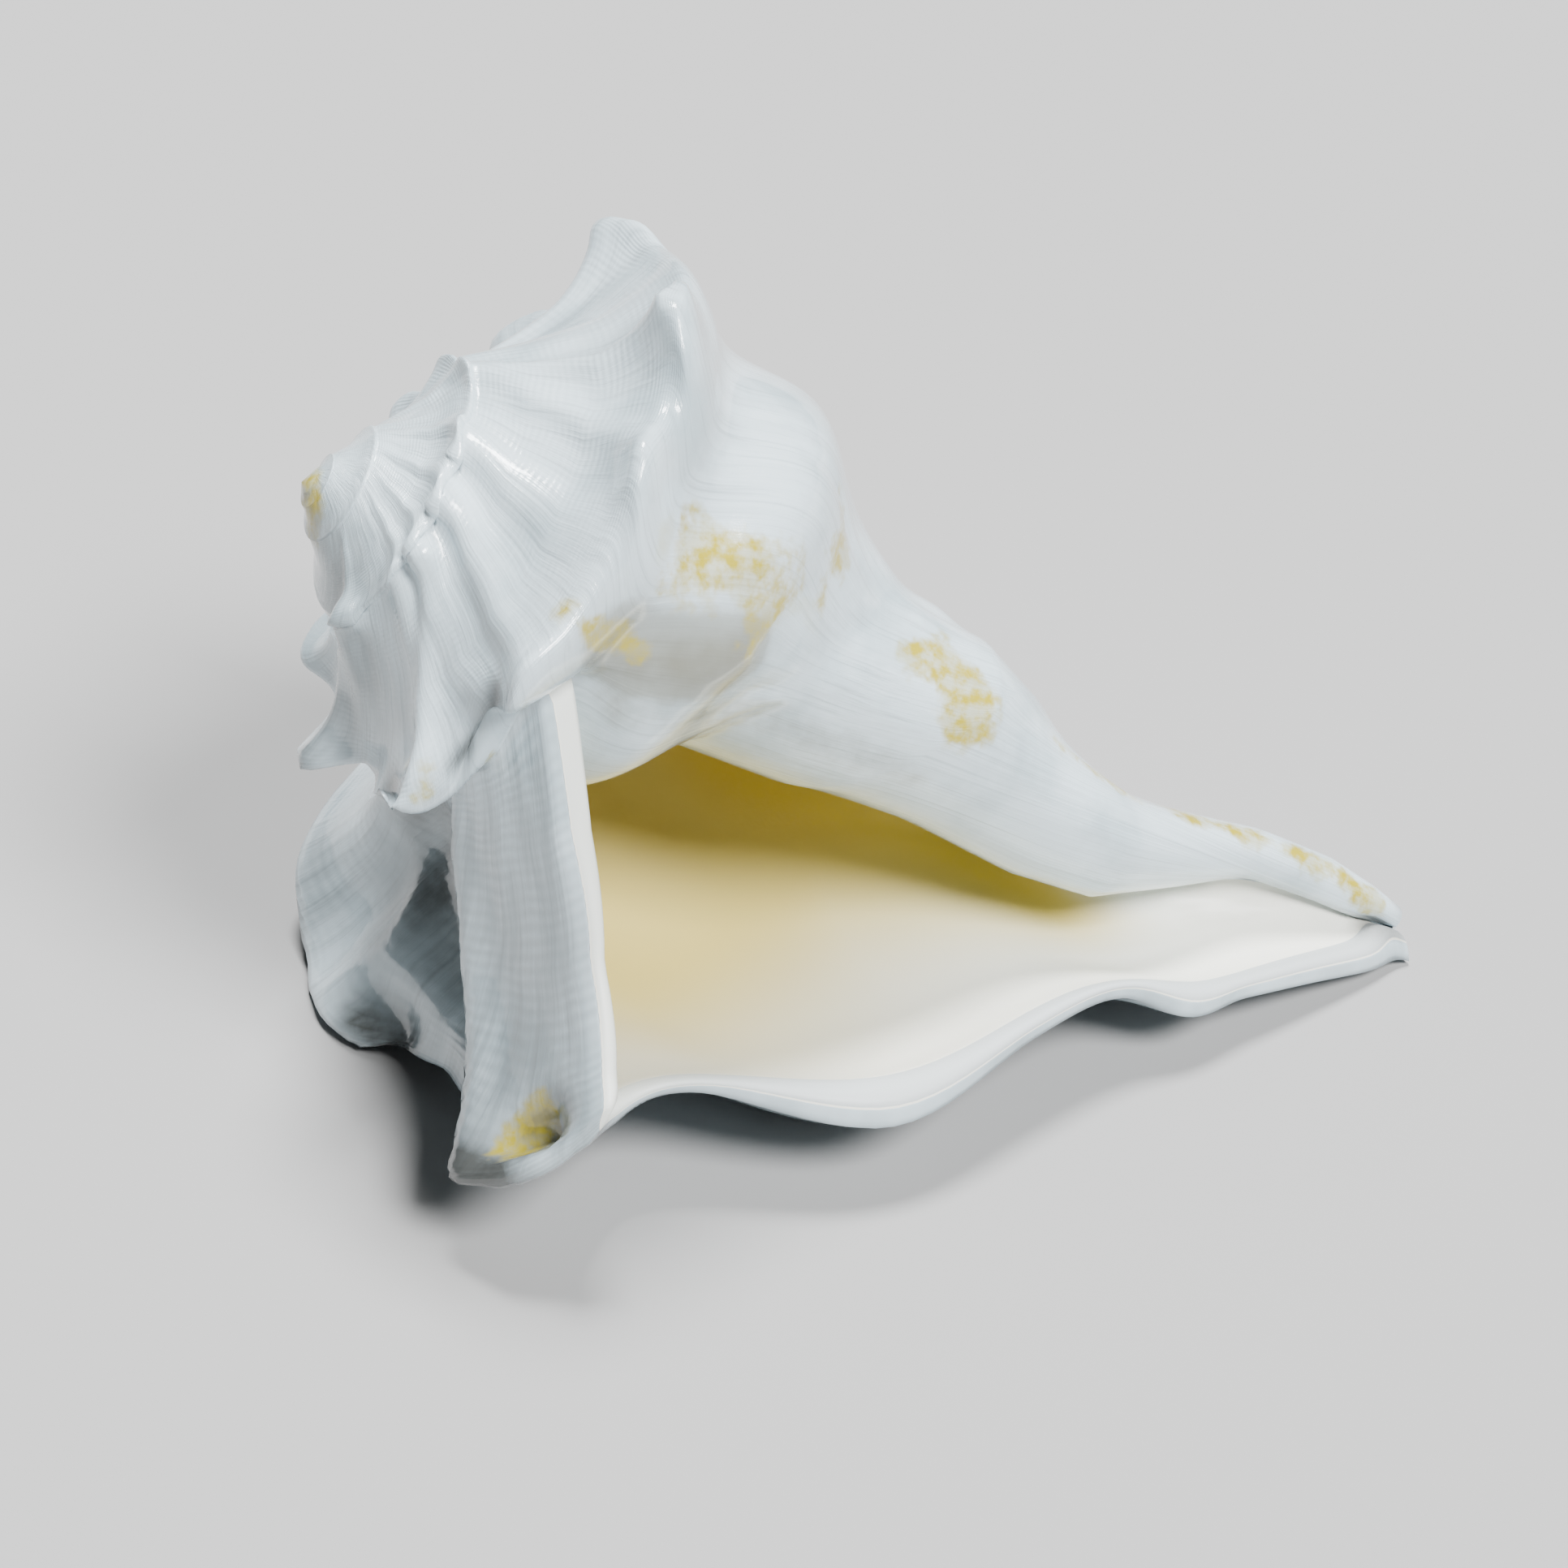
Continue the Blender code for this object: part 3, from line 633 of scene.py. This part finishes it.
# Yellow stains: from, to, width, strength, in metres on the lying shell
stainSpots = [((-0.0301, -0.0235, 0.0835), (-0.0230, -0.0223, 0.0800), 0.0075, 0.80),
              ((-0.0498, -0.0326, 0.0848), (-0.0458, -0.0333, 0.0816), 0.0022, 0.85),
              ((-0.0458, -0.0333, 0.0816), (-0.0398, -0.0286, 0.0760), 0.0022, 0.80),
              ((-0.0110, -0.0085, 0.0748), (-0.0092, -0.0039, 0.0781), 0.0040, 0.70),
              ((-0.0130, -0.0119, 0.0708), (-0.0110, -0.0085, 0.0748), 0.0025, 0.60),
              ((0.0041, -0.0055, 0.0578), (0.0086, -0.0104, 0.0510), 0.0050, 0.80),
              ((0.0231, -0.0032, 0.0415), (0.0431, -0.0005, 0.0262), 0.0022, 0.55),
              ((0.0431, -0.0005, 0.0262), (0.0622, -0.0006, 0.0179), 0.0028, 0.75),
              ((0.0622, -0.0006, 0.0179), (0.0740, -0.0019, 0.0094), 0.0024, 0.75),
              ((-0.0551, -0.0371, 0.0734), (-0.0583, -0.0290, 0.0600), 0.0016, 0.80),
              ((-0.0664, -0.0296, 0.0602), (-0.0660, -0.0300, 0.0590), 0.0026, 1.30),
              ((-0.0562, -0.0486, 0.0158), (-0.0534, -0.0486, 0.0190), 0.0028, 1.60),
              ((-0.0781, -0.0004, 0.0854), (-0.0775, -0.0048, 0.0800), 0.0035, 0.60)]


def shellFields(corners, marks):
    # values the enamel reads at each corner of a face: growth, place and side, tints of the
    # inner wall, and stains, painted shade (partly dirt), painted shade on the body (partly its
    # own yellowish grey) and the newest strip as spots or bands on their side
    growth, place, side = marks.T
    onOuter = side == sideMarks["outer"]
    notInner = side <= sideMarks["core"]
    cream, mustard = insideWarmth(growth, place, side)
    # painted shade: darker with the depth of the valley behind the lip, at the spots, and in the
    # canal; some of the spots also stand for dirt
    valley = relief(growth, place)[0] * onOuter / enamelValues["valleyDepth"]
    shadeAndGrime = np.maximum(spotField(corners, shadeAndGrimeSpots) * notInner, 0.8 * valley)
    shadeAndGrime = np.maximum(shadeAndGrime, spotField(corners, canalSpots) * ~onOuter)
    return {"growth": growth, "place": place, "side": side,
            "cream": cream, "mustard": mustard,
            "stain": spotField(corners, stainSpots) * notInner,
            "shadeAndGrime": shadeAndGrime,
            "shadeAndTint": spotField(corners, shadeAndTintSpots) * notInner,
            "strip": smoothStep(-38.0, -32.0, growth) * onOuter}


def makeShell():
    # the net laid on the table, small forms pressed in, held inside the solid's box
    points, squares, triangles, marks = shellNet().gathered()
    points = toTable(points)
    corner = np.concatenate([squares.ravel(), triangles.ravel()])
    sides = np.zeros(len(points))
    np.maximum.at(sides, corner, marks[:, 2])
    points = pressForms(points, outward(points, squares, triangles), sides <= sideMarks["core"])
    low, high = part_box("shell")
    points = np.clip(points, np.array(low), np.array(high))
    mesh = bpy.data.meshes.new("shellSurface")
    mesh.from_pydata(points.tolist(), [], squares.tolist() + triangles.tolist())
    for name, values in shellFields(points[corner], marks).items():
        layer = mesh.attributes.new(name, "FLOAT", "CORNER")
        layer.data.foreach_set("value", np.ascontiguousarray(values, dtype=np.float32))
    mesh.polygons.foreach_set("use_smooth", [True] * len(mesh.polygons))
    mesh.update()
    obj = bpy.data.objects.new("shellSkin", mesh)
    bpy.context.scene.collection.objects.link(obj)
    print("shell mesh", len(points), "points", len(mesh.polygons), "faces")
    return obj


# Colours of the enamel, roughness where polished and dull, gloss coat outside and inside
enamelValues = {
    "white": (0.62, 0.74, 0.80),
    "grey": (0.43, 0.54, 0.59),
    "line": (0.24, 0.29, 0.31),
    "rim": (0.76, 0.79, 0.74),
    "rimLow": (0.50, 0.54, 0.55),
    "inner": (0.86, 0.86, 0.78),
    "cream": (0.64, 0.52, 0.16),
    "mustard": (0.64, 0.48, 0.07),
    "stain": (0.42, 0.35, 0.03),
    "stainRagged": 2.6,
    # colour of the painted shade in hollows, creases, the slit and the canal, partly dirt
    "shadeAndGrime": (0.045, 0.045, 0.040),
    # colour of the painted shade on the lower body and pillar, partly the body's own yellowish
    # grey
    "shadeAndTint": (0.17, 0.165, 0.115),
    "valleyDepth": 0.032,
    "rough": 0.10,
    "roughRim": 0.55,
    "coat": 0.65,
    "coatInside": 0.05,
    "coatRough": 0.05,
}

# Patterns of the enamel. A pair is how often it repeats per degree of growth and per place on the
# growth line; a single number is its fineness per metre; depths are in metres
patternValues = {
    "lines": (0.75, 0.45),
    "slowLines": (0.1275, 0.2),
    "wander": (0.05, 0.8),
    "banding": (0.22, 0.5),
    "cords": 9.0,
    "cordWander": 2.2,
    "cordFade": (0.12, 1.6),
    "patches": 55.0,
    # the next two set how finely noise breaks up the painted shade on the body and in the hollows
    "shadeMottle": 240.0,
    "murk": 180.0,
    "crumb": 110.0,
    "stainGrain": 420.0,
    "grain": 900.0,
    "lineDepth": 0.00045,
    "cordDepth": 0.00012,
    "grainDepth": 0.00006,
}


def enamelMaterial():
    # base colour: white to grey by slow noise and by growth lines, cream to mustard inside, white
    # on the lip rim, darker by painted shade (partly dirt, partly the body's own yellowish grey),
    # yellow where the stain field plus noise is high; bump: cords along the spiral, lines along
    # the growth, both from the shell's own growth and place values
    v = enamelValues
    pattern = patternValues
    mat = bpy.data.materials.new("shellEnamel")
    mat.use_nodes = True
    tree = mat.node_tree
    tree.nodes.clear()
    make = tree.nodes.new
    link = tree.links.new

    def put(socket, value):
        if hasattr(value, "is_linked"):
            link(value, socket)
        elif isinstance(value, tuple) and len(value) == 3 and socket.type == "RGBA":
            socket.default_value = value + (1.0,)
        else:
            socket.default_value = value

    def maths(kind, a, b=0.0, c=0.0):
        node = make("ShaderNodeMath")
        node.operation = kind
        for k, value in enumerate((a, b, c)):
            put(node.inputs[k], value)
        return node.outputs[0]

    def times(a, b):
        return maths("MULTIPLY", a, b)

    def timesPlus(a, b, c):
        return maths("MULTIPLY_ADD", a, b, c)

    def ease(x, start, end, low=0.0, high=1.0):
        node = make("ShaderNodeMapRange")
        node.interpolation_type = "SMOOTHSTEP"
        for k, value in enumerate((x, start, end, low, high)):
            put(node.inputs[k], value)
        return node.outputs[0]

    def blend(factor, a, b):
        node = make("ShaderNodeMix")
        node.data_type = "RGBA"
        put(node.inputs[0], factor)
        put(node.inputs[6], a)
        put(node.inputs[7], b)
        return node.outputs[2]

    def mark(name):
        node = make("ShaderNodeAttribute")
        node.attribute_name = name
        return node.outputs["Fac"]

    def noise(where, scale, detail=3.0, rough=0.55):
        node = make("ShaderNodeTexNoise")
        link(where, node.inputs["Vector"])
        node.inputs["Scale"].default_value = scale
        node.inputs["Detail"].default_value = detail
        node.inputs["Roughness"].default_value = rough
        return node.outputs["Fac"]

    growth = mark("growth")
    place = mark("place")
    side = mark("side")
    here = make("ShaderNodeTexCoord").outputs["Object"]

    def drawn(name, detail=2.0, rough=0.55):
        # noise on (growth * per degree, place * per place), so it runs along the shell's lines
        perDegree, perPlace = pattern[name]
        node = make("ShaderNodeCombineXYZ")
        put(node.inputs[0], times(growth, perDegree))
        put(node.inputs[1], times(place, perPlace))
        return noise(node.outputs[0], 1.0, detail, rough)

    def bump(height, depth, strength, before=None):
        node = make("ShaderNodeBump")
        put(node.inputs["Height"], height)
        node.inputs["Distance"].default_value = depth
        node.inputs["Strength"].default_value = strength
        if before is not None:
            link(before, node.inputs["Normal"])
        return node.outputs["Normal"]

    # masks: outer skin, rim of the lip, ramp above the shoulder
    outer = ease(side, 1.4, 1.6, 1.0, 0.0)
    rim = ease(side, 2.4, 2.6)
    ramp = times(outer, ease(place, 3.7, 4.6, 1.0, 0.0))

    # growth lines, cords along the spiral that come and go, and cloudy patches
    fine = drawn("lines", 4.0, 0.6)
    slow = drawn("slowLines")
    turns = timesPlus(place, pattern["cords"], times(drawn("wander"), pattern["cordWander"]))
    cords = timesPlus(maths("SINE", times(turns, 6.2832)), 0.5, 0.5)
    cords = times(cords, ease(drawn("cordFade"), 0.35, 0.65, 0.25, 1.0))
    cordHeight = times(cords, times(ramp, ease(mark("strip"), 0.0, 1.0, 0.35, 1.0)))
    patches = noise(here, pattern["patches"], 4.0)

    # outer skin: white and grey, darker between cords and in growth bands, most on the newest
    # strip and where shade is painted
    skin = blend(ease(patches, 0.42, 0.70), v["white"], v["grey"])
    skin = blend(times(ease(fine, 0.50, 0.70), times(outer, 0.35)), skin, v["line"])
    # the newest strip, or the painted shade made stronger
    older = maths("MAXIMUM", mark("strip"), times(mark("shadeAndGrime"), 1.2))
    between = times(maths("SUBTRACT", 1.0, cords), times(ramp, timesPlus(older, 0.22, 0.05)))
    skin = blend(between, skin, v["line"])
    banding = ease(drawn("banding", 3.0, 0.6), 0.40, 0.66)
    skin = blend(times(banding, timesPlus(older, 0.30, 0.12)), skin, v["line"])

    # brownish painted shade on the polished patch, the parietal edge and the pillar, partly their
    # own yellowish grey
    shadeMottle = maths("SUBTRACT", noise(here, pattern["shadeMottle"], 4.0, 0.6), 0.5)
    shadeMottle = ease(timesPlus(shadeMottle, 0.25, mark("shadeAndTint")), 0.40, 0.62)
    shadeMottle = timesPlus(shadeMottle, 0.45, times(mark("shadeAndTint"), 0.5))
    skin = blend(times(shadeMottle, ease(patches, 0.30, 0.62, 0.8, 1.0)), skin, v["shadeAndTint"])

    # inner wall and rim, then painted shade (partly dirt) and ragged yellow stains over all
    inside = blend(mark("cream"), v["inner"], v["cream"])
    inside = blend(mark("mustard"), inside, v["mustard"])
    colour = blend(outer, inside, skin)
    colour = blend(rim, colour, blend(ease(place, 4.6, 6.5), v["rim"], v["rimLow"]))
    # painted shade, partly dirt, broken up by noise
    murk = ease(noise(here, pattern["murk"], 4.0, 0.6), 0.25, 0.70, 0.75, 1.0)
    murk = maths("MINIMUM", times(times(mark("shadeAndGrime"), murk), 1.1), 0.92)
    colour = blend(murk, colour, v["shadeAndGrime"])
    crumb = maths("SUBTRACT", noise(here, pattern["crumb"], 4.0, 0.62), 0.5)
    crumb = times(crumb, ease(mark("stain"), 0.02, 0.22))
    ragged = ease(timesPlus(crumb, v["stainRagged"], mark("stain")), 0.22, 0.70)
    grain = ease(noise(here, pattern["stainGrain"]), 0.35, 0.65, 0.45, 1.0)
    colour = blend(times(ragged, grain), colour, v["stain"])

    shader = make("ShaderNodeBsdfPrincipled")
    result = make("ShaderNodeOutputMaterial")
    link(shader.outputs["BSDF"], result.inputs["Surface"])
    link(colour, shader.inputs["Base Color"])
    matte = maths("MAXIMUM", rim, timesPlus(outer, -0.55, 0.55))
    matte = maths("ADD", matte, times(patches, 0.5))
    link(ease(matte, 0.0, 1.2, v["rough"], v["roughRim"]), shader.inputs["Roughness"])
    shader.inputs["Specular IOR Level"].default_value = 0.5
    link(timesPlus(outer, v["coat"], v["coatInside"]), shader.inputs["Coat Weight"])
    shader.inputs["Coat Roughness"].default_value = v["coatRough"]

    # bump: growth lines on the outer skin, weaker below the shoulder, then cords, then grain
    lines = times(outer, ease(place, 4.0, 5.5, 1.0, 0.45))
    lines = times(timesPlus(fine, 0.5, slow), lines)
    normal = bump(lines, pattern["lineDepth"], 0.6)
    normal = bump(cordHeight, pattern["cordDepth"], 0.7, normal)
    normal = bump(noise(here, pattern["grain"]), pattern["grainDepth"], 0.5, normal)
    link(normal, shader.inputs["Normal"])
    return mat


def standAt(obj, right, up, back, spot):
    # the object's three axes and its place as the columns of its matrix
    columns = (right, up, back, spot)
    rows = [[float(column[k]) for column in columns] for k in range(3)]
    obj.matrix_world = Matrix(rows + [[0.0, 0.0, 0.0, 1.0]])
    bpy.context.scene.collection.objects.link(obj)


# Camera at the photo's viewing angle: directions and aim in the shell's own frame, before it is
# laid down, and focal length, centre and frame in pixels
cameraValues = {
    "right": (0.41932, 0.35511, -0.83550),
    "down": (0.10780, -0.93329, -0.34256),
    "forward": (-0.90141, 0.05358, -0.42963),
    "aim": (0.0, 0.0, -0.45),
    "distance": 2.95642,
    "focal": 4795.69,
    "centre": (1021.79, 857.96),
    "frame": 1932.0,
    "sensor": 36.0,
    "near": 0.01,
    "far": 20.0,
}


def makeCamera():
    # the fitted camera: position = aim - distance * forward, lens from the focal length in pixels
    v = cameraValues
    axes = restAxes()
    place = np.array(v["aim"]) - np.array(v["forward"]) * v["distance"]
    data = bpy.data.cameras.new("photoCamera")
    data.sensor_width = v["sensor"]
    data.lens = v["focal"] / v["frame"] * v["sensor"]
    data.shift_x = (v["frame"] / 2 - v["centre"][0]) / v["frame"]
    data.shift_y = (v["centre"][1] - v["frame"] / 2) / v["frame"]
    data.clip_start = v["near"]
    data.clip_end = v["far"]
    cam = bpy.data.objects.new("photoCamera", data)
    standAt(cam, axes @ v["right"], -(axes @ v["down"]), -(axes @ v["forward"]),
            toTable(place[None])[0])
    bpy.context.scene.camera = cam


# Two broad lamps (strength, width in degrees, place they shine from), sky and floor
lightValues = {
    "key": 8.0,
    "keySize": 22.0,
    "keyPlace": (0.34, -0.52, 0.78),
    "back": 7.6,
    "backSize": 17.0,
    "backPlace": (0.02, 0.28, 0.90),
    "aim": (0.0, 0.0, 0.05),
    "sky": 0.06,
    "floor": 0.32,
    "floorHalf": 15.0,
    "floorDrop": 0.0005,
    "floorRough": 0.9,
}


def makeLamp(name, place, spread, strength):
    # a broad far lamp shining from place towards the aim; spread is its width in degrees
    data = bpy.data.lights.new(name, "SUN")
    data.angle = math.radians(spread)
    data.energy = strength
    back = np.array(place) - np.array(lightValues["aim"])
    back = back / np.linalg.norm(back)
    right = np.cross((0.0, 0.0, 1.0), back)
    right = right / np.linalg.norm(right)
    standAt(bpy.data.objects.new(name, data), right, np.cross(back, right), back, place)


def makeFloor():
    # one square just under the shell
    v = lightValues
    s = v["floorHalf"]
    h = -v["floorDrop"]
    mesh = bpy.data.meshes.new("floorSheet")
    mesh.from_pydata([(-s, -s, h), (s, -s, h), (s, s, h), (-s, s, h)], [], [(0, 1, 2, 3)])
    mat = bpy.data.materials.new("floorPaper")
    mat.use_nodes = True
    paper = mat.node_tree.nodes["Principled BSDF"]
    paper.inputs["Base Color"].default_value = (v["floor"],) * 3 + (1,)
    paper.inputs["Roughness"].default_value = v["floorRough"]
    mesh.materials.append(mat)
    floor = bpy.data.objects.new("floorSheet", mesh)
    bpy.context.scene.collection.objects.link(floor)
    return floor


def makeStage():
    # a faint white sky, the floor and the two lamps
    v = lightValues
    world = bpy.data.worlds.new("studio")
    world.use_nodes = True
    sky = world.node_tree.nodes["Background"]
    sky.inputs[0].default_value = (1, 1, 1, 1)
    sky.inputs[1].default_value = v["sky"]
    bpy.context.scene.world = world
    makeFloor()
    makeLamp("keyLamp", v["keyPlace"], v["keySize"], v["key"])
    makeLamp("backLamp", v["backPlace"], v["backSize"], v["back"])


shell = makeShell()
shell.data.materials.append(enamelMaterial())
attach(shell, "root")
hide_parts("shell")
print("shell placed")
makeCamera()
makeStage()
print("camera and light placed")
